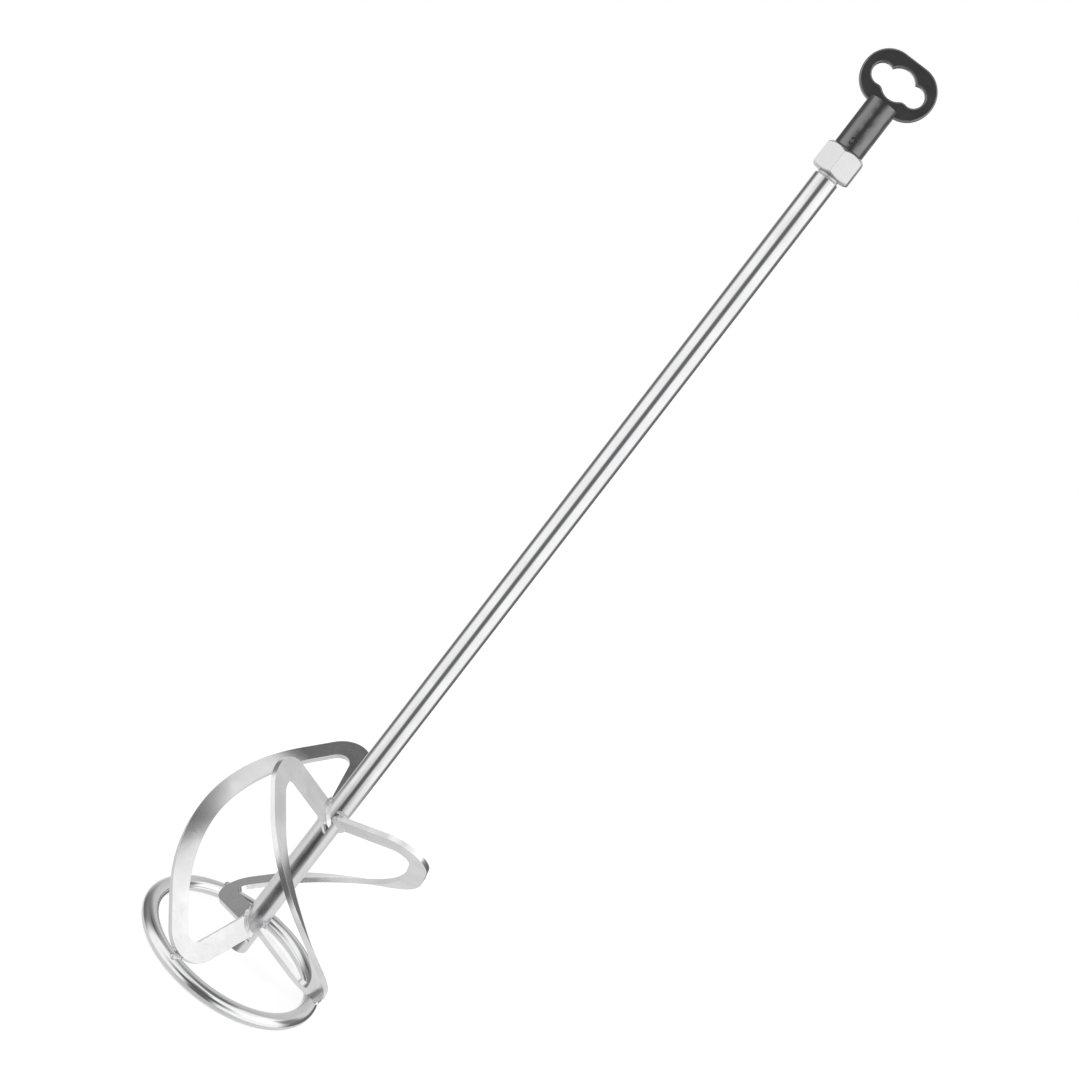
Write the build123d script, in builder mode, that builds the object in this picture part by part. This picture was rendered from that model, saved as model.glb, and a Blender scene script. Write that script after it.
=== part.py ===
from build123d import *
import os
from math import acos, asin, atan2, cos, radians, sin, tan

# Mortar mixing paddle with three flat-steel loop blades, a bottom ring and an M14 spindle thread.
# Millimetres, +Z up along the shaft, origin in the middle of the ring's underside.

# Bottom ring, a round bar bent to a circle
ring_bar_diameter = 9.3
ring_middle_radius = 54.2

# Shaft, a round bar
shaft_diameter = 14.0
shaft_bottom = 8.5
shaft_top = 545.8
shaft_top_chamfer = 0.9
shaft_end_chamfer = 0.6
socket_diameter = 9.0
socket_depth = 16.0

# Drive hub: hexagon, spigot below it and threaded stud above it
neck_diameter = 11.0
neck_height = 1.4
hex_width = 21.0
hex_height = 15.0
hex_face_diameter = 19.6
hex_top_chamfer_angle = 40.0
hex_bottom_chamfer_angle = 30.0
hex_turn = 24.0
thread_diameter = 14.0
thread_pitch = 2.0
thread_depth = 1.22
thread_crest = 0.3
thread_root = 1.6
stud_height = 25.0
stud_chamfer = 1.5
thread_runout = 1.0
hub_bead_radius = 0.75

# Blades, closed loops of flat steel that turn round the shaft from the top arm to the bottom arm
blade_names = ["blade_a", "blade_b", "blade_c"]
blade_turns = [0.0, 117.6, 232.2]
blade_thickness = 3.0
strip_width = 11.0
strip_rise_top = 4.7
strip_rise_bottom = 2.3
rim_start_angle = 127.5
rim_sweep = 95.6
rim_top = 108.8
rim_bottom = 28.5
rim_radius_top = 61.4
rim_radius_bottom = 59.6
rim_bulge = 4.5
rim_stations = 8
top_corner_reach = 48.2
top_arm_width = 12.4
top_outer_radius = 18.7
top_inner_radius = 7.8
bottom_corner_reach = 43.4
bottom_arm_width = 12.2
bottom_outer_radius = 18.8
bottom_inner_radius = 6.0

# Weld beads
arm_bead_radius = 2.0
arm_bead_length = 13.0
ring_bead_radius = 2.8
ring_bead_length = 9.0
bead_overhang = 0.4

# Thread protector cap with its hanging eyelet
cap_gap = 0.3
sleeve_diameter = 16.8
sleeve_height = 29.0
sleeve_rim_chamfer = 0.4
bore_diameter = 14.5
bore_depth = 27.0
eyelet_thickness = 5.4
eyelet_lobe_radius = 14.4
eyelet_lobe_spacing = 13.2
eyelet_middle = 40.4
eyelet_edge_radius = 1.0
eye_lobe_radius = 5.6
eye_lobe_spacing = 19.9
eye_middle_radius = 8.5
eye_middle_rise = 0.3
eye_lower_corner_radius = 4.5
gate_diameter = 4.2
gate_depth = 0.4
gate_pip_diameter = 2.2
gate_height = 4.4
gate_side_shift = -1.2

# Worked out from the driving dimensions
ring_bar_radius = ring_bar_diameter / 2
shaft_radius = shaft_diameter / 2
hex_bottom = shaft_top + neck_height
hex_top = hex_bottom + hex_height
hex_outside_radius = hex_width * 2 / 3
hex_chamfer_reach = hex_outside_radius - hex_face_diameter / 2
hex_top_drop = hex_chamfer_reach * tan(radians(hex_top_chamfer_angle))
hex_bottom_drop = hex_chamfer_reach * tan(radians(hex_bottom_chamfer_angle))
stud_top = hex_top + stud_height
cap_bottom = hex_top + cap_gap
eyelet_height = cap_bottom + eyelet_middle

os.makedirs("parts", exist_ok=True)


def rim_direction(turn, share):
    """Outward direction from the shaft, at a share of the way down the rim from 0 at the top to 1."""
    angle = radians(turn + rim_start_angle + rim_sweep * share)
    return Vector(cos(angle), sin(angle), 0)


def rim_middle(turn, share):
    """Middle of the rim strip at that share of the way down."""
    straight_radius = rim_radius_top + (rim_radius_bottom - rim_radius_top) * share
    radius = straight_radius + rim_bulge * 4 * share * (1 - share)
    height = rim_top + (rim_bottom - rim_top) * share
    return rim_direction(turn, share) * (radius - strip_width / 2) + Vector(0, 0, height)


def rim_section(turn, share):
    """Plane across the rim strip, with x outwards and a little up, and z running down along the rim."""
    small_step = 0.001
    along = rim_middle(turn, share + small_step) - rim_middle(turn, share - small_step)
    rise = radians(strip_rise_top + (strip_rise_bottom - strip_rise_top) * share)
    outward = rim_direction(turn, share) * cos(rise) + Vector(0, 0, sin(rise))
    return Plane(rim_middle(turn, share), x_dir=outward, z_dir=along)


class ArmShape:
    """Flat end of a blade: the corner and the arm that reaches back to the shaft, in one plane."""

    def __init__(self, turn, share, reach, width, outer_radius, inner_radius):
        self.outer_radius = outer_radius
        self.inner_radius = inner_radius
        section = rim_section(turn, share)
        onward = section.z_dir if share > 0 else section.z_dir * -1
        normal = section.x_dir.cross(onward)
        foot = Vector(0, 0, normal.dot(section.origin) / normal.Z)
        self.plane = Plane(foot, x_dir=section.origin - foot, z_dir=normal)
        rim_outside = self.local(section.origin + section.x_dir * (strip_width / 2))
        rim_inside = self.local(section.origin - section.x_dir * (strip_width / 2))
        heading = (self.local(section.origin + onward) - self.local(section.origin)).normalized()
        corner = rim_outside + heading * reach
        tilt = atan2(corner.Y, corner.X) - asin(width / 2 / corner.length)
        self.arm_heading = Vector(cos(tilt), sin(tilt), 0)
        self.arm_side = Vector(-sin(tilt), cos(tilt), 0)
        half_side = self.arm_side * (width / 2)
        # the inner corner is where the rim's inner edge meets the arm's inner edge
        offset = (rim_inside + half_side).dot(self.arm_side)
        inner_corner = rim_inside - heading * (offset / heading.dot(self.arm_side))
        self.outline = [rim_inside, rim_outside, corner, half_side, half_side * -1, inner_corner]
        self.corner = corner
        self.inner_corner = inner_corner

    def local(self, point):
        return self.plane.to_local_coords(point)

    def world(self, point):
        return self.plane.from_local_coords(point)


with BuildPart() as ring:
    with BuildSketch(Plane.XZ):
        with Locations((ring_middle_radius, ring_bar_radius)):
            Circle(ring_bar_radius)
    revolve(axis=Axis.Z)
ring.part.label = "bottom_ring"
export_step(ring.part, "parts/bottom_ring.step")


with BuildPart() as shaft:
    with BuildSketch(Plane.XY.offset(shaft_bottom)):
        Circle(shaft_radius)
    extrude(amount=shaft_top - shaft_bottom)
    chamfer(shaft.edges().group_by(Axis.Z)[-1], shaft_top_chamfer)
    chamfer(shaft.edges().group_by(Axis.Z)[0], shaft_end_chamfer)
    with BuildSketch(Plane.XY.offset(shaft_top - socket_depth)):
        Circle(socket_diameter / 2)
    extrude(amount=socket_depth, mode=Mode.SUBTRACT)
shaft.part.label = "shaft"
export_step(shaft.part, "parts/shaft.step")


top_end = (0, top_corner_reach, top_arm_width, top_outer_radius, top_inner_radius)
bottom_end = (1, bottom_corner_reach, bottom_arm_width, bottom_outer_radius, bottom_inner_radius)
top_shapes = [ArmShape(turn, *top_end) for turn in blade_turns]
bottom_shapes = [ArmShape(turn, *bottom_end) for turn in blade_turns]
blades = []
for name, turn, top_shape, bottom_shape in zip(blade_names, blade_turns, top_shapes, bottom_shapes):
    with BuildPart() as blade:
        for station in range(rim_stations + 1):
            with BuildSketch(rim_section(turn, station / rim_stations)):
                Rectangle(strip_width, blade_thickness)
        loft()
        for shape in (top_shape, bottom_shape):
            with BuildSketch(shape.plane) as flat_end:
                with BuildLine():
                    Polyline(*shape.outline, close=True)
                make_face()
                fillet(flat_end.vertices().sort_by_distance(shape.corner)[0], shape.outer_radius)
                fillet(flat_end.vertices().sort_by_distance(shape.inner_corner)[0], shape.inner_radius)
            extrude(amount=blade_thickness / 2, both=True)
        with BuildSketch(Plane.XY):
            Circle(shaft_radius)
        extrude(amount=stud_top, mode=Mode.SUBTRACT)
        add(ring.part, mode=Mode.SUBTRACT)
    blade.part.label = name
    export_step(blade.part, "parts/" + name + ".step")
    blades.append(blade.part)


with BuildPart() as drive_hub:
    # hexagon with its corners turned off at both ends
    with BuildSketch(Plane.XY.offset(hex_bottom)):
        RegularPolygon(hex_width / 2, 6, major_radius=False, rotation=hex_turn)
    extrude(amount=hex_height)
    with BuildSketch(Plane.XZ):
        with BuildLine():
            Polyline(
                (0, hex_bottom),
                (hex_face_diameter / 2, hex_bottom),
                (hex_outside_radius, hex_bottom + hex_bottom_drop),
                (hex_outside_radius, hex_top - hex_top_drop),
                (hex_face_diameter / 2, hex_top),
                (0, hex_top),
                close=True,
            )
        make_face()
    revolve(axis=Axis.Z, mode=Mode.INTERSECT)
    # neck and the spigot that sits in the shaft's socket
    with BuildSketch(Plane.XY.offset(shaft_top)):
        Circle(neck_diameter / 2)
    extrude(amount=neck_height)
    with BuildSketch(Plane.XY.offset(shaft_top - socket_depth)):
        Circle(socket_diameter / 2)
    extrude(amount=socket_depth)
    # stud with one helical ridge
    with BuildSketch(Plane.XY.offset(hex_top)):
        Circle(thread_diameter / 2 - thread_depth)
    extrude(amount=stud_height)
    chamfer(drive_hub.edges().group_by(Axis.Z)[-1], stud_chamfer - thread_depth)
    with BuildLine():
        thread_path = Helix(
            pitch=thread_pitch,
            height=stud_height - 2 * thread_runout,
            radius=thread_diameter / 2 - thread_depth,
            center=(0, 0, hex_top + thread_runout),
        )
    with BuildSketch(Plane(thread_path @ 0, x_dir=(1, 0, 0), z_dir=thread_path % 0)):
        with BuildLine():
            Polyline(
                (-thread_crest, -thread_root / 2),
                (-thread_crest, thread_root / 2),
                (0, thread_root / 2),
                (thread_depth, thread_crest / 2),
                (thread_depth, -thread_crest / 2),
                (0, -thread_root / 2),
                close=True,
            )
        make_face()
    sweep(path=thread_path, is_frenet=True)
drive_hub.part.label = "drive_hub"
export_step(drive_hub.part, "parts/drive_hub.step")


with BuildPart() as hub_weld:
    bead_height = shaft_top + neck_height / 2
    with BuildSketch(Plane.XZ):
        with Locations((neck_diameter / 2, bead_height)):
            Circle(hub_bead_radius)
    revolve(axis=Axis.Z)
    add(drive_hub.part, mode=Mode.SUBTRACT)
    add(shaft.part, mode=Mode.SUBTRACT)
hub_weld.part.label = "hub_weld"
export_step(hub_weld.part, "parts/hub_weld.step")


with BuildPart() as cap:
    # eyelet plate: two round lobes outside, a three-lobed eye inside
    with BuildSketch(Plane.XZ) as eyelet:
        with Locations((0, eyelet_height)):
            SlotCenterToCenter(eyelet_lobe_spacing, 2 * eyelet_lobe_radius)
        with Locations((-eye_lobe_spacing / 2, eyelet_height), (eye_lobe_spacing / 2, eyelet_height)):
            Circle(eye_lobe_radius, mode=Mode.SUBTRACT)
        with Locations((0, eyelet_height + eye_middle_rise)):
            Circle(eye_middle_radius, mode=Mode.SUBTRACT)
        # of the four corners where the eye's lobes meet, the lower two are rounded
        eye_corners = eyelet.vertices().sort_by_distance((0, eyelet_height))[:4]
        fillet(eye_corners.sort_by(Axis.Y)[:2], eye_lower_corner_radius)
    extrude(amount=eyelet_thickness / 2, both=True)
    flat_faces = cap.faces().filter_by(Axis.Y)
    fillet(flat_faces.edges(), eyelet_edge_radius)
    # sleeve with a blind bore over the stud
    with BuildSketch(Plane.XY.offset(cap_bottom)):
        Circle(sleeve_diameter / 2)
    extrude(amount=sleeve_height)
    with BuildSketch(Plane.XY.offset(cap_bottom)):
        Circle(bore_diameter / 2)
    extrude(amount=bore_depth, mode=Mode.SUBTRACT)
    rim_edges = cap.edges().filter_by(GeomType.CIRCLE).filter_by_position(Axis.Z, cap_bottom, cap_bottom)
    chamfer(rim_edges, sleeve_rim_chamfer)
    # round gate mark on the front of the sleeve, a shallow ring with a pip in it
    gate_middle = (gate_side_shift, gate_depth - sleeve_diameter / 2, cap_bottom + gate_height)
    with BuildSketch(Plane(gate_middle, x_dir=(1, 0, 0), z_dir=(0, -1, 0))):
        Circle(gate_diameter / 2)
        Circle(gate_pip_diameter / 2, mode=Mode.SUBTRACT)
    extrude(amount=sleeve_diameter / 2, mode=Mode.SUBTRACT)
cap.part.label = "cap"
export_step(cap.part, "parts/cap.step")


def weld_bead(middle, direction, across, radius, length, neighbours):
    """Round-ended bead of weld metal along an axis through its middle, fitted against its neighbours."""
    with BuildPart() as bead:
        with BuildSketch(Plane(middle, x_dir=direction, z_dir=across)):
            SlotOverall(length, 2 * radius)
            Rectangle(length, radius, align=(Align.CENTER, Align.MAX), mode=Mode.SUBTRACT)
        revolve(axis=Axis(middle, direction))
        for neighbour in neighbours:
            add(neighbour, mode=Mode.SUBTRACT)
    return bead.part


def arm_beads(shape, blade_solid):
    """One bead on each face of an arm, where it meets the shaft."""
    size = (arm_bead_radius, arm_bead_length, [shaft.part, blade_solid])
    heading = shape.world(shape.arm_heading) - shape.plane.origin
    side = shape.world(shape.arm_side) - shape.plane.origin
    root = shape.plane.origin + heading * (shaft_radius / Vector(heading.X, heading.Y, 0).length)
    lift = shape.plane.z_dir * (blade_thickness / 2 + bead_overhang)
    return [weld_bead(root + lift * face, side, heading, *size) for face in (-1, 1)]


def ring_beads(shape, blade_solid):
    """Bead through which a blade's bottom corner stands on the ring, half of it on each face of the blade."""
    normal = shape.plane.z_dir
    drop = shape.plane.origin.Z - ring_bar_diameter
    level = Vector(normal.X, normal.Y, 0).length
    away = acos(normal.Z * drop / (ring_middle_radius * level))
    facing = atan2(normal.Y, normal.X)
    corner = shape.world(shape.corner)
    seats = [
        Vector(cos(angle), sin(angle), 0) * ring_middle_radius + Vector(0, 0, ring_bar_diameter)
        for angle in (facing - away, facing + away)
    ]
    seat = min(seats, key=lambda point: (point - corner).length)
    neighbours = [ring.part, blade_solid]
    return [weld_bead(seat, shape.plane.x_dir, normal, ring_bead_radius, ring_bead_length, neighbours)]


weld_groups = [
    ("upper_arm_welds", arm_beads, top_shapes),
    ("lower_arm_welds", arm_beads, bottom_shapes),
    ("ring_welds", ring_beads, bottom_shapes),
]
for name, make_beads, shapes in weld_groups:
    beads = []
    for shape, blade_solid in zip(shapes, blades):
        beads += make_beads(shape, blade_solid)
    with BuildPart() as welds:
        add(beads)
    welds.part.label = name
    export_step(welds.part, "parts/" + name + ".step")
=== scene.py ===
"""Looks of the mortar mixing paddle: plated steel, a black plastic cap and a white studio."""

import math

import bmesh
import bpy
from mathutils import Matrix, Vector, noise


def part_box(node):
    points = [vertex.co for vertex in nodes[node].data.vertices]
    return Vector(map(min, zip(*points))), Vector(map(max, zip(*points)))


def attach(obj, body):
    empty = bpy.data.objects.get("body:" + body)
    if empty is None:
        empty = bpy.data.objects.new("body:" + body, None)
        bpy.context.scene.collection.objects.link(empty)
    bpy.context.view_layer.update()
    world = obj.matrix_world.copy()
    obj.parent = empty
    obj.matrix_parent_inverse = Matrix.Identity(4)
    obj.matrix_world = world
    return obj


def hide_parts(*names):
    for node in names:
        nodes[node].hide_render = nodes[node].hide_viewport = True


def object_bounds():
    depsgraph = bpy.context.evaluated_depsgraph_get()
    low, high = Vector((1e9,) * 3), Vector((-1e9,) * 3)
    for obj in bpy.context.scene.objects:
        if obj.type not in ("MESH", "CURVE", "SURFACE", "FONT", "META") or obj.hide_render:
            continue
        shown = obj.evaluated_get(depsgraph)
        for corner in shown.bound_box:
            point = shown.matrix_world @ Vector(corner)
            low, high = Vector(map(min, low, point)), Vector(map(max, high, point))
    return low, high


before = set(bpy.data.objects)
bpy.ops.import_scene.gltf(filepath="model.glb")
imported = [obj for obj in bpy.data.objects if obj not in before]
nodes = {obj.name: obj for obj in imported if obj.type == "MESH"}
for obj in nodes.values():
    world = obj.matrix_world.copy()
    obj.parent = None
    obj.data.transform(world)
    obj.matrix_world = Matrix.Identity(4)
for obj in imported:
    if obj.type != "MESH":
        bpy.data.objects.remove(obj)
cad_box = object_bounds()

MM = 0.001
UP = Vector((0.0, 0.0, 1.0))

# ------------------------------------------------------------------ camera
SENSOR_WIDTH = 36.0
CAMERA_PLACE = (-0.0003, -0.8394, 0.4700)
CAMERA_TARGET = (-0.0036, 0.0, 0.3220)
CAMERA_ROLL = 37.57
CAMERA_LENS = 52.84
CAMERA_SHIFT = (-0.019, -0.024)


def make_camera():
    """Camera on the -Y side, looking a little down, rolled so that the shaft leans right."""
    data = bpy.data.cameras.new("camera")
    data.sensor_width = SENSOR_WIDTH
    data.lens = CAMERA_LENS
    data.shift_x, data.shift_y = CAMERA_SHIFT
    data.clip_start, data.clip_end = 0.01, 60.0
    camera = bpy.data.objects.new("camera", data)
    bpy.context.scene.collection.objects.link(camera)
    heading = Vector(CAMERA_TARGET) - Vector(CAMERA_PLACE)
    level = heading.to_track_quat("-Z", "Y").to_matrix().to_4x4()
    roll = Matrix.Rotation(math.radians(CAMERA_ROLL), 4, "Z")
    camera.matrix_world = Matrix.Translation(CAMERA_PLACE) @ level @ roll
    bpy.context.scene.camera = camera


make_camera()


# ------------------------------------------------------------------ node helpers
def grey(value):
    return (value, value, value, 1.0)


class Graph:
    """Short calls for building a shader node tree."""

    def __init__(self, tree):
        self.tree = tree
        tree.nodes.clear()

    def put(self, socket, value):
        if isinstance(value, bpy.types.NodeSocket):
            self.tree.links.new(value, socket)
        elif value is not None:
            socket.default_value = value

    def node(self, kind, inputs=(), **settings):
        made = self.tree.nodes.new(kind)
        for key, value in settings.items():
            setattr(made, key, value)
        for key, value in dict(inputs).items():
            self.put(made.inputs[key], value)
        return made

    def math(self, operation, a, b=None):
        made = self.tree.nodes.new("ShaderNodeMath")
        made.operation = operation
        self.put(made.inputs[0], a)
        self.put(made.inputs[1], b)
        return made.outputs[0]

    def step(self, value, low, high, start=0.0, end=1.0):
        """start where value is below low, end above high, and a smooth change between them."""
        made = self.node(
            "ShaderNodeMapRange",
            {"Value": value, "From Min": low, "From Max": high, "To Min": start, "To Max": end},
            interpolation_type="SMOOTHSTEP",
        )
        return made.outputs[0]

    def profile(self, value, steps):
        """First number, then for each (low, high, number) a smooth change to that number."""
        level = steps[0]
        for low, high, number in steps[1:]:
            level = self.mix(self.step(value, float(low), float(high)), level, number)
        return level

    def mix(self, factor, a, b):
        made = self.tree.nodes.new("ShaderNodeMix")
        made.data_type = "FLOAT"
        self.put(made.inputs[0], factor)
        self.put(made.inputs[2], a)
        self.put(made.inputs[3], b)
        return made.outputs[0]

    def mix_colour(self, factor, a, b):
        made = self.tree.nodes.new("ShaderNodeMix")
        made.data_type = "RGBA"
        self.put(made.inputs[0], factor)
        self.put(made.inputs[6], a)
        self.put(made.inputs[7], b)
        return made.outputs[2]

    def noise(self, vector, scale, detail=3.0, roughness=0.5, stretch=None):
        if stretch is not None:
            vector = self.node("ShaderNodeMapping", {"Vector": vector, "Scale": stretch}).outputs[0]
        made = self.node(
            "ShaderNodeTexNoise",
            {"Vector": vector, "Scale": scale, "Detail": detail, "Roughness": roughness},
        )
        return made.outputs[0]

    def bump(self, height, strength, distance, normal=None):
        made = self.node(
            "ShaderNodeBump",
            {"Height": height, "Strength": strength, "Distance": distance},
        )
        if normal is not None:
            self.put(made.inputs["Normal"], normal)
        return made.outputs[0]


# ------------------------------------------------------------------ studio
DEGREES = math.degrees(1.0)
BACKDROP_RADIUS = 20.0
FLOOR_RADIUS = 15.0
FLOOR_GAP = 0.2 * MM
FLOOR_GLOW = 0.78


def make_world():
    """White studio: a wide soft box on each side, a dim front and dim slots at the sides.

    Brightness is worked out from two angles of a direction: turn, from the front round to the
    back, and lift, above the horizon. The levels are stacked by lift, each with a soft edge to
    the next.
    """
    world = bpy.data.worlds.new("studio")
    bpy.context.scene.world = world
    world.use_nodes = True
    g = Graph(world.node_tree)
    direction = g.node("ShaderNodeTexCoord").outputs["Generated"]
    split = g.node("ShaderNodeSeparateXYZ", {0: direction})
    x, y, z = split.outputs
    angle = g.math("ARCTAN2", x, g.math("MULTIPLY", y, -1.0))
    turn = g.math("ABSOLUTE", g.math("MULTIPLY", angle, DEGREES))
    lift = g.math("MULTIPLY", g.math("ARCSINE", z), DEGREES)
    right = g.step(x, -0.02, 0.02)

    def layer(right_side, left_side):
        """Brightness round one level, from the front (0 degrees) to the back (180)."""
        return g.mix(right, g.profile(turn, left_side), g.profile(turn, right_side))

    ground = layer(
        [0.58, (20, 70, 0.70), (100, 150, 0.74)],
        [0.58, (20, 70, 0.72), (100, 150, 0.74)],
    )
    skirt = layer([0.04, (28, 62, 0.78)], [0.04, (30, 64, 0.70)])
    low = layer(
        [0.14, (10, 27, 1.10), (92, 114, 0.16), (164, 180, 0.25)],
        [0.14, (10, 27, 1.05), (80, 108, 0.17), (128, 170, 0.85)],
    )
    middle = layer(
        [0.12, (16, 60, 1.28), (92, 106, 0.24), (122, 140, 0.72), (150, 175, 0.62)],
        [0.12, (20, 64, 1.05), (80, 106, 0.28), (110, 126, 0.24), (136, 172, 0.62)],
    )
    high = layer(
        [0.24, (6, 22, 1.15), (110, 128, 0.60)],
        [0.24, (8, 28, 1.10), (86, 112, 0.10), (120, 142, 0.28), (150, 176, 0.70)],
    )
    upper = layer([1.0, (108, 130, 0.50)], [0.9, (94, 116, 0.42)])
    wall = g.mix(g.step(lift, -30.4, -28.8), ground, skirt)
    wall = g.mix(g.step(lift, -23.6, -22.0), wall, low)
    wall = g.mix(g.step(lift, 5.2, 7.6), wall, middle)
    wall = g.mix(g.step(lift, 30.0, 40.0), wall, high)
    wall = g.mix(g.step(lift, 47.0, 58.0), wall, upper)
    zenith = g.mix(g.step(x, -0.10, 0.10), g.step(lift, 68.0, 84.0), g.step(lift, 64.0, 72.0))
    wall = g.mix(zenith, wall, 0.17)
    background = g.node("ShaderNodeBackground", {"Color": grey(1.0), "Strength": wall})
    g.node("ShaderNodeOutputWorld", {"Surface": background.outputs[0]})


def emission_material(name, strength):
    material = bpy.data.materials.new(name)
    material.use_nodes = True
    g = Graph(material.node_tree)
    shader = g.node("ShaderNodeEmission", {"Color": grey(1.0), "Strength": strength})
    g.node("ShaderNodeOutputMaterial", {"Surface": shader.outputs[0]})
    return material


def seen_only_by_camera(obj):
    """Keep a floor or backdrop out of reflections and lighting, which the studio gives."""
    obj.visible_diffuse = False
    obj.visible_glossy = False
    obj.visible_transmission = False
    obj.visible_volume_scatter = False
    obj.visible_shadow = False


def make_backdrop():
    """Plain white shell behind everything, which lights nothing."""
    mesh = bpy.data.meshes.new("backdrop")
    bm = bmesh.new()
    bmesh.ops.create_icosphere(bm, subdivisions=4, radius=BACKDROP_RADIUS)
    bm.to_mesh(mesh)
    bm.free()
    shell = bpy.data.objects.new("backdrop", mesh)
    bpy.context.scene.collection.objects.link(shell)
    mesh.materials.append(emission_material("backdrop_white", 1.0))
    seen_only_by_camera(shell)


def floor_material():
    """Pale floor, lit from inside so that it stays nearly white."""
    material = bpy.data.materials.new("pale_floor")
    material.use_nodes = True
    g = Graph(material.node_tree)
    place = g.node("ShaderNodeTexCoord").outputs["Object"]
    grain = g.noise(place, 40.0, detail=2.0)
    shade = g.mix_colour(grain, grey(0.42), grey(0.46))
    shader = g.node(
        "ShaderNodeBsdfPrincipled",
        {
            "Base Color": shade,
            "Roughness": 0.9,
            "Specular IOR Level": 0.0,
            "Emission Color": grey(1.0),
            "Emission Strength": FLOOR_GLOW,
        },
    )
    g.node("ShaderNodeOutputMaterial", {"Surface": shader.outputs[0]})
    return material


def make_floor():
    """Wide disc just below the ring."""
    mesh = bpy.data.meshes.new("floor")
    bm = bmesh.new()
    bmesh.ops.create_circle(bm, cap_ends=True, segments=96, radius=FLOOR_RADIUS)
    bm.to_mesh(mesh)
    bm.free()
    floor = bpy.data.objects.new("floor", mesh)
    bpy.context.scene.collection.objects.link(floor)
    floor.location.z = cad_box[0].z - FLOOR_GAP
    mesh.materials.append(floor_material())
    seen_only_by_camera(floor)


make_world()
make_backdrop()
make_floor()
bpy.context.scene.view_settings.view_transform = "Standard"
bpy.context.scene.view_settings.look = "None"


# ------------------------------------------------------------------ materials
PIT_GREY = 0.42
FINE_BUMP = 0.000006
WELD_BUMP = 0.00003


def metal_material(name, colour, dark, roughness, spread, grain_stretch, grain_bump, spots=0.0):
    """Bare or zinc-plated steel: grain drawn along grain_stretch, cloudy gloss and small dull pits.

    roughness is that of the clean metal, and spread is how much rougher its clouds and grain are.
    """
    material = bpy.data.materials.new(name)
    material.use_nodes = True
    g = Graph(material.node_tree)
    place = g.node("ShaderNodeTexCoord").outputs["Object"]
    cloud = g.noise(place, 60.0, detail=4.0, roughness=0.6)
    fine = g.noise(place, 900.0, detail=2.0)
    grain = g.noise(place, 1.0, detail=3.0, roughness=0.6, stretch=grain_stretch)
    tint = g.mix_colour(g.step(cloud, 0.35, 0.72), dark, colour)
    pits = g.step(g.noise(place, 520.0, detail=1.0), 0.66, 0.78)
    tint = g.mix_colour(g.math("MULTIPLY", pits, spots), tint, grey(PIT_GREY))
    rough = g.mix(g.step(cloud, 0.3, 0.75), roughness + spread, roughness)
    rough = g.math("ADD", rough, g.math("MULTIPLY", grain, spread * 0.5))
    normal = g.bump(grain, 0.5, grain_bump)
    normal = g.bump(fine, 0.3, grain_bump, normal)
    shader = g.node(
        "ShaderNodeBsdfPrincipled",
        {"Base Color": tint, "Metallic": 1.0, "Roughness": rough, "Normal": normal},
    )
    g.node("ShaderNodeOutputMaterial", {"Surface": shader.outputs[0]})
    return material


def plastic_material():
    """Satin black moulding: fine grain, shallow sink marks, cloudy sheen and a few scuffs."""
    material = bpy.data.materials.new("satin_black_moulding")
    material.use_nodes = True
    g = Graph(material.node_tree)
    place = g.node("ShaderNodeTexCoord").outputs["Object"]
    grain = g.noise(place, 2600.0, detail=2.0)
    cloud = g.noise(place, 140.0, detail=4.0, roughness=0.6)
    scuff = g.noise(place, 1.0, detail=2.0, stretch=(420.0, 420.0, 2600.0))
    tint = g.mix_colour(cloud, (0.006, 0.006, 0.007, 1.0), (0.028, 0.028, 0.029, 1.0))
    tint = g.mix_colour(g.step(scuff, 0.68, 0.80, 0.0, 0.5), tint, (0.09, 0.09, 0.09, 1.0))
    rough = g.mix(cloud, 0.18, 0.30)
    sink = g.noise(place, 85.0, detail=1.5)
    normal = g.bump(sink, 0.6, 0.0012)
    normal = g.bump(grain, 0.35, 0.00006, normal)
    shader = g.node(
        "ShaderNodeBsdfPrincipled",
        {"Base Color": tint, "Roughness": rough, "Normal": normal, "IOR": 2.75},
    )
    g.node("ShaderNodeOutputMaterial", {"Surface": shader.outputs[0]})
    return material


bar_metal = metal_material(
    "plated_bar",
    colour=(0.87, 0.87, 0.88, 1.0),
    dark=(0.81, 0.81, 0.82, 1.0),
    roughness=0.11,
    spread=0.05,
    grain_stretch=(900.0, 900.0, 25.0),
    grain_bump=FINE_BUMP,
)
hub_metal = metal_material(
    "plated_hub",
    colour=grey(0.77),
    dark=grey(0.74),
    roughness=0.20,
    spread=0.06,
    grain_stretch=(900.0, 900.0, 60.0),
    grain_bump=FINE_BUMP,
)
strip_metal = metal_material(
    "plated_strip",
    colour=grey(0.88),
    dark=grey(0.80),
    roughness=0.15,
    spread=0.06,
    grain_stretch=(400.0, 400.0, 400.0),
    grain_bump=FINE_BUMP,
    spots=0.15,
)
weld_metal = metal_material(
    "weld_metal",
    colour=grey(0.95),
    dark=grey(0.84),
    roughness=0.32,
    spread=0.10,
    grain_stretch=(900.0, 900.0, 900.0),
    grain_bump=WELD_BUMP,
    spots=0.9,
)
black_plastic = plastic_material()


# ------------------------------------------------------------------ pieces
def new_piece(name, bm, material, node):
    """A mesh object from bm that rides on the paddle and stands for a CAD node."""
    mesh = bpy.data.meshes.new(name)
    bm.to_mesh(mesh)
    bm.free()
    mesh.materials.append(material)
    mesh.shade_smooth()
    piece = bpy.data.objects.new(name, mesh)
    bpy.context.scene.collection.objects.link(piece)
    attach(piece, "paddle")
    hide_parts(node)
    return piece


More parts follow.
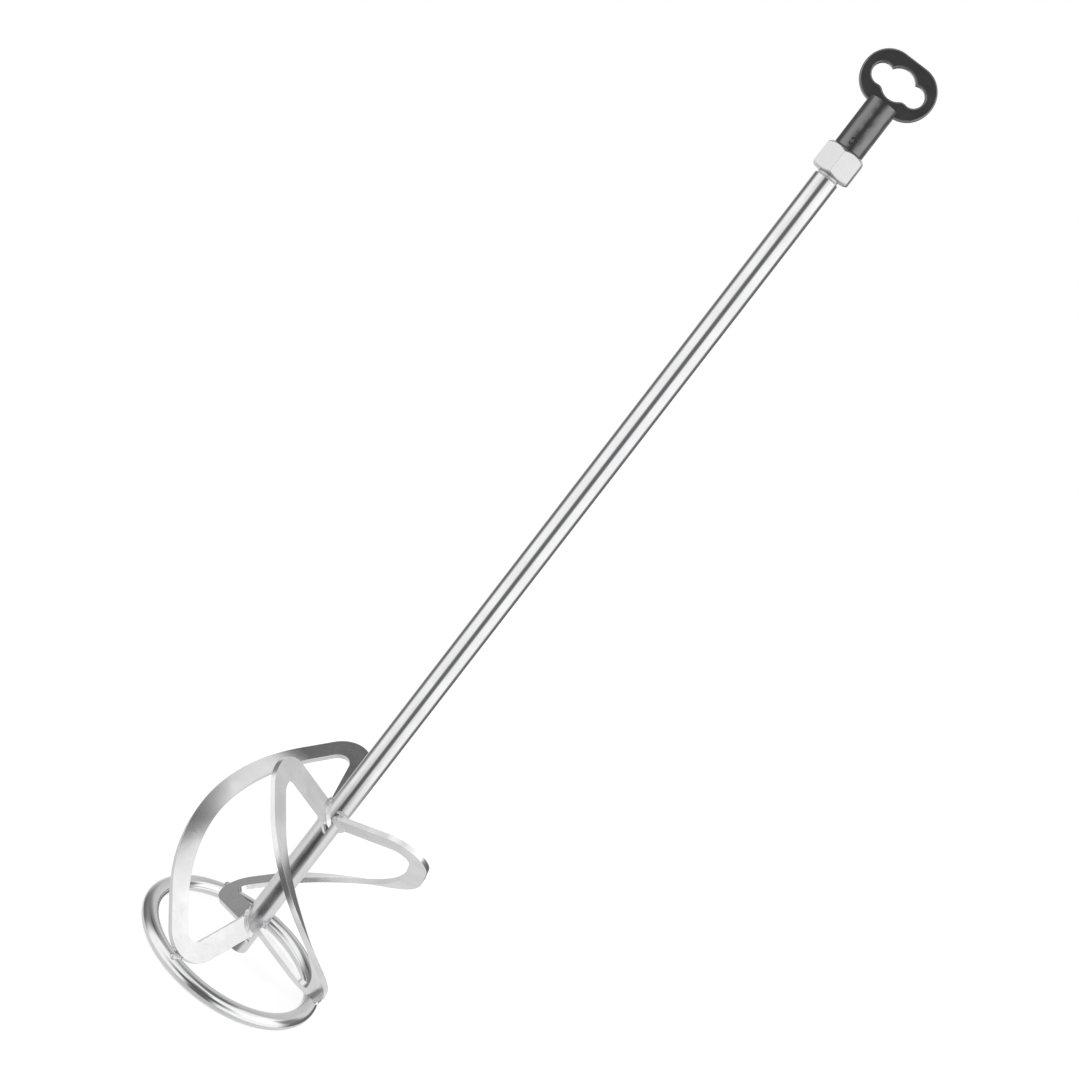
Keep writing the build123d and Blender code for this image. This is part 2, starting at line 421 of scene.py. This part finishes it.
def weigh_normals(piece):
    """Flat faces keep flat shading, and only the narrow rounded edges between them bend it."""
    modifier = piece.modifiers.new("weigh", "WEIGHTED_NORMAL")
    modifier.mode = "FACE_AREA"
    modifier.weight = 100
    modifier.keep_sharp = False
    graph = bpy.context.evaluated_depsgraph_get()
    weighed = piece.evaluated_get(graph)
    mesh = bpy.data.meshes.new_from_object(weighed, preserve_all_data_layers=True, depsgraph=graph)
    piece.modifiers.clear()
    piece.data = mesh


EDGE_SEGMENTS = 3
SAME_POINT = 0.002 * MM
FLAT_ENOUGH = math.radians(0.4)


def rounded_copy(name, node, material, radius, sharpest, reach=0.0):
    """Copy of a CAD node with its edges rounded off, where they turn by more than sharpest degrees.

    Edges nearer to the axis than reach keep their shape.
    """
    bm = bmesh.new()
    bm.from_mesh(nodes[node].data)
    bmesh.ops.remove_doubles(bm, verts=bm.verts, dist=SAME_POINT)
    bmesh.ops.dissolve_limit(bm, angle_limit=FLAT_ENOUGH, verts=bm.verts, edges=bm.edges)
    sharp = [
        edge
        for edge in bm.edges
        if len(edge.link_faces) == 2
        and edge.calc_face_angle() > math.radians(sharpest)
        and all(vert.co.xy.length >= reach for vert in edge.verts)
    ]
    bmesh.ops.bevel(
        bm,
        geom=sharp,
        offset=radius,
        offset_type="OFFSET",
        segments=EDGE_SEGMENTS,
        profile=0.5,
        affect="EDGES",
        clamp_overlap=True,
    )
    piece = new_piece(name, bm, material, node)
    weigh_normals(piece)
    return piece


for letter in "abc":
    strip = rounded_copy(
        "strip_" + letter,
        "blade_" + letter,
        strip_metal,
        radius=0.35 * MM,
        sharpest=35.0,
    )
    strip.visible_glossy = False
nodes["shaft"].visible_glossy = False
rounded_copy(
    "hexagon_and_stud",
    "drive_hub",
    hub_metal,
    radius=0.6 * MM,
    sharpest=20.0,
    reach=10.3 * MM,
)


BEAD_SIDES = 20
BEAD_SQUASH = 0.85
BEAD_PITCH = 1.25 * MM
BEAD_RIPPLE = 0.085
BEAD_END_GIRTH = 0.25


def scallop(phase):
    """Height of rippled weld metal: 0 where one ripple meets the next, and 1 on its crest."""
    return 1.0 - (2.0 * (phase % 1.0) - 1.0) ** 2


def run_lengths(path):
    """Distance along path of each of its points."""
    lengths = [0.0]
    for a, b in zip(path, path[1:]):
        lengths.append(lengths[-1] + (b - a).length)
    return lengths


def join_rings(bm, rings):
    """Skin a row of equal rings of vertices, and close its two ends."""
    count = len(rings[0])
    for lower, upper in zip(rings, rings[1:]):
        for side in range(count):
            after = (side + 1) % count
            bm.faces.new((lower[side], lower[after], upper[after], upper[side]))
    bm.faces.new(reversed(rings[0]))
    bm.faces.new(rings[-1])


def straight_bead(bm, path, radius, seed):
    """Run of weld metal along a straight level path: a tube with ripples and an uneven width."""
    along = (path[-1] - path[0]).normalized()
    out = (UP - along * UP.dot(along)).normalized()
    across = along.cross(out)
    lengths = run_lengths(path)
    total = lengths[-1]
    rings = []
    for point, run in zip(path, lengths):
        near_end = min(run, total - run) / (1.3 * radius)
        fullness = math.sqrt(max(0.0, 1.0 - (1.0 - min(1.0, near_end)) ** 2))
        girth = BEAD_END_GIRTH + (1.0 - BEAD_END_GIRTH) * fullness
        girth *= 1.0 + 0.10 * noise.noise(Vector((run / (3.0 * MM), seed, 0.0)))
        ring = []
        for side in range(BEAD_SIDES):
            angle = 2.0 * math.pi * side / BEAD_SIDES
            ripple = 1.0 + BEAD_RIPPLE * scallop(run / BEAD_PITCH - 0.45 * math.cos(angle))
            spot = (
                point
                + across * math.sin(angle) * radius
                + out * math.cos(angle) * radius * BEAD_SQUASH
            )
            rough = 1.0 + 0.05 * noise.noise(spot * 1400.0 + Vector((seed, 0.0, 0.0)))
            ring.append(bm.verts.new(point + (spot - point) * girth * ripple * rough))
        rings.append(ring)
    join_rings(bm, rings)


SHAFT_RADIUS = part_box("shaft")[1].x
ARM_REACH = 45.0 * MM
ON_SHAFT = 0.02 * MM
BEAD_STATIONS = 56
WELD_PITCH = 1.3 * MM
WELD_RIPPLE = 0.07
WELD_SWELL = 0.40
WELD_END_SIZE = 0.15
WELD_BURY = 0.25 * MM
WELD_ROUGHNESS = 0.10 * MM
FILLET_STEPS = 8


def arm_end(letter, low, high):
    """Where the flat end of a blade between two heights meets the bar.

    Gives its unit normal, pointing up, the offsets of its lower and upper faces along it, and
    the joint's middle.
    """
    areas = {}
    for face in nodes["blade_" + letter].data.polygons:
        if low < face.center.z < high and face.center.xy.length < ARM_REACH:
            key = tuple(round(c, 2) for c in face.normal)
            total, normal = areas.get(key, (0.0, face.normal.copy()))
            areas[key] = (total + face.area, normal)
    normal = max(areas.values(), key=lambda entry: entry[0])[1]
    if normal.z < 0.0:
        normal = -normal
    points = [v.co for v in nodes["blade_" + letter].data.vertices if low < v.co.z < high]
    joint = [p for p in points if abs(p.xy.length - SHAFT_RADIUS) < ON_SHAFT]
    heights = sorted(normal.dot(p) for p in joint)
    middle = sum(joint, Vector()) / len(joint)
    return normal, heights[0], heights[-1], middle


def fillet_weld(bm, feet, up_shaft, along_arm, leg, seed):
    """Fillet in the corner between the bar and a strip's face, rippled and thin at both ends."""
    lengths = run_lengths(feet)
    total = lengths[-1]
    rings = []
    for foot, shaft_way, arm_way, run in zip(feet, up_shaft, along_arm, lengths):
        near_end = min(1.0, min(run, total - run) / (1.6 * leg))
        fullness = math.sqrt(near_end * (2.0 - near_end))
        size = leg * (WELD_END_SIZE + (1.0 - WELD_END_SIZE) * fullness)
        size *= 1.0 + 0.16 * noise.noise(Vector((run / (2.2 * MM), seed, 0.0)))
        out = (shaft_way + arm_way).normalized()
        start, end = foot + shaft_way * size, foot + arm_way * size
        ring = [start - arm_way * WELD_BURY]
        for step in range(FILLET_STEPS + 1):
            share = step / FILLET_STEPS
            wave = scallop(run / WELD_PITCH - 0.5 * math.sin(math.pi * share))
            swell = WELD_SWELL + WELD_RIPPLE * wave
            middle = foot + (shaft_way + arm_way) * size * swell
            spot = (
                start * (1.0 - share) ** 2
                + middle * 2.0 * share * (1.0 - share)
                + end * share**2
            )
            rough = noise.noise(spot * 1100.0 + Vector((seed, 0.0, 0.0)))
            ring.append(spot + out * WELD_ROUGHNESS * rough)
        ring.append(end - shaft_way * WELD_BURY)
        ring.append(foot - (shaft_way + arm_way) * WELD_BURY)
        rings.append([bm.verts.new(point) for point in ring])
    join_rings(bm, rings)


def arm_welds(name, node, low, high, half_turn, leg):
    """Fillets where each blade's flat end meets the round bar, one on each face of the strip."""
    bm = bmesh.new()
    for number, letter in enumerate("abc"):
        normal, lower, upper, middle = arm_end(letter, low, high)
        facing = math.atan2(middle.y, middle.x)
        for face, offset in ((-1.0, lower), (1.0, upper)):
            feet, up_shaft, along_arm = [], [], []
            for step in range(BEAD_STATIONS + 1):
                angle = facing + half_turn * (2.0 * step / BEAD_STATIONS - 1.0)
                spoke = Vector((math.cos(angle), math.sin(angle), 0.0))
                foot = spoke * SHAFT_RADIUS
                foot.z = (offset - normal.dot(foot)) / normal.z
                feet.append(foot)
                up_shaft.append(Vector((0.0, 0.0, face)))
                along_arm.append((spoke - normal * normal.dot(spoke)).normalized())
            fillet_weld(bm, feet, up_shaft, along_arm, leg, seed=7.3 * number + 3.1 * face)
    bmesh.ops.recalc_face_normals(bm, faces=bm.faces)
    new_piece(name, bm, weld_metal, node)


arm_welds("upper_beads", "upper_arm_welds", 85 * MM, 120 * MM, math.radians(68), 2.5 * MM)
arm_welds("lower_beads", "lower_arm_welds", 5 * MM, 40 * MM, math.radians(58), 1.5 * MM)


def loose_parts(node):
    """Vertex lists of the separate solids of a CAD node."""
    bm = bmesh.new()
    bm.from_mesh(nodes[node].data)
    bmesh.ops.remove_doubles(bm, verts=bm.verts, dist=SAME_POINT)
    seen, parts = set(), []
    for first in bm.verts:
        if first in seen:
            continue
        seen.add(first)
        stack, part = [first], []
        while stack:
            vert = stack.pop()
            part.append(vert.co.copy())
            for edge in vert.link_edges:
                other = edge.other_vert(vert)
                if other not in seen:
                    seen.add(other)
                    stack.append(other)
        parts.append(part)
    bm.free()
    return sorted(parts, key=lambda part: round(part[0].x, 4))


SEAT_BEAD_RADIUS = 1.8 * MM
SEAT_DROP = 0.6 * MM
SEAT_HALF_LENGTH = 0.42
SEAT_STEPS = 40


def seat_welds():
    """Short beads where the blades stand on the ring, along the longest way of each CAD bead."""
    bm = bmesh.new()
    for number, part in enumerate(loose_parts("ring_welds")):
        centre = sum(part, Vector()) / len(part)
        far = max(part, key=lambda p: (p - centre).length)
        other = max(part, key=lambda p: (p - far).length)
        along = (far - other).normalized()
        half = SEAT_HALF_LENGTH * (far - other).length
        middle = centre - UP * SEAT_DROP
        shares = [2.0 * step / SEAT_STEPS - 1.0 for step in range(SEAT_STEPS + 1)]
        path = [middle + along * half * share for share in shares]
        straight_bead(bm, path, SEAT_BEAD_RADIUS, seed=11.0 + number)
    new_piece("seat_beads", bm, weld_metal, "ring_welds")


seat_welds()

COLLAR_STEPS = 180
COLLAR_SIDES = 16
COLLAR_RIPPLES = 34


def collar_weld():
    """Rippled bead all round the neck between the hexagon and the bar."""
    low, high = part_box("hub_weld")
    bm = bmesh.new()
    radius = (high.z - low.z) / 2
    rings = []
    for step in range(COLLAR_STEPS):
        turn = 2.0 * math.pi * step / COLLAR_STEPS
        spoke = Vector((math.cos(turn), math.sin(turn), 0.0))
        ring = []
        for side in range(COLLAR_SIDES):
            angle = 2.0 * math.pi * side / COLLAR_SIDES
            wave = scallop(step / COLLAR_STEPS * COLLAR_RIPPLES - 0.4 * math.cos(angle))
            ripple = 0.90 + 0.10 * wave
            spot = spoke * (high.x - radius + radius * math.cos(angle) * ripple)
            spot.z = (low.z + high.z) / 2 + radius * math.sin(angle)
            ring.append(bm.verts.new(spot))
        rings.append(ring)
    for lower, upper in zip(rings, rings[1:] + rings[:1]):
        for side in range(COLLAR_SIDES):
            after = (side + 1) % COLLAR_SIDES
            bm.faces.new((lower[side], upper[side], upper[after], lower[after]))
    new_piece("collar_bead", bm, weld_metal, "hub_weld")


collar_weld()

finishes = {
    "shaft": bar_metal,
    "bottom_ring": bar_metal,
    "drive_hub": hub_metal,
    "hub_weld": weld_metal,
    "cap": black_plastic,
    "blade_a": strip_metal,
    "blade_b": strip_metal,
    "blade_c": strip_metal,
    "upper_arm_welds": weld_metal,
    "lower_arm_welds": weld_metal,
    "ring_welds": weld_metal,
}
for node_name, finish in finishes.items():
    nodes[node_name].data.materials.clear()
    nodes[node_name].data.materials.append(finish)
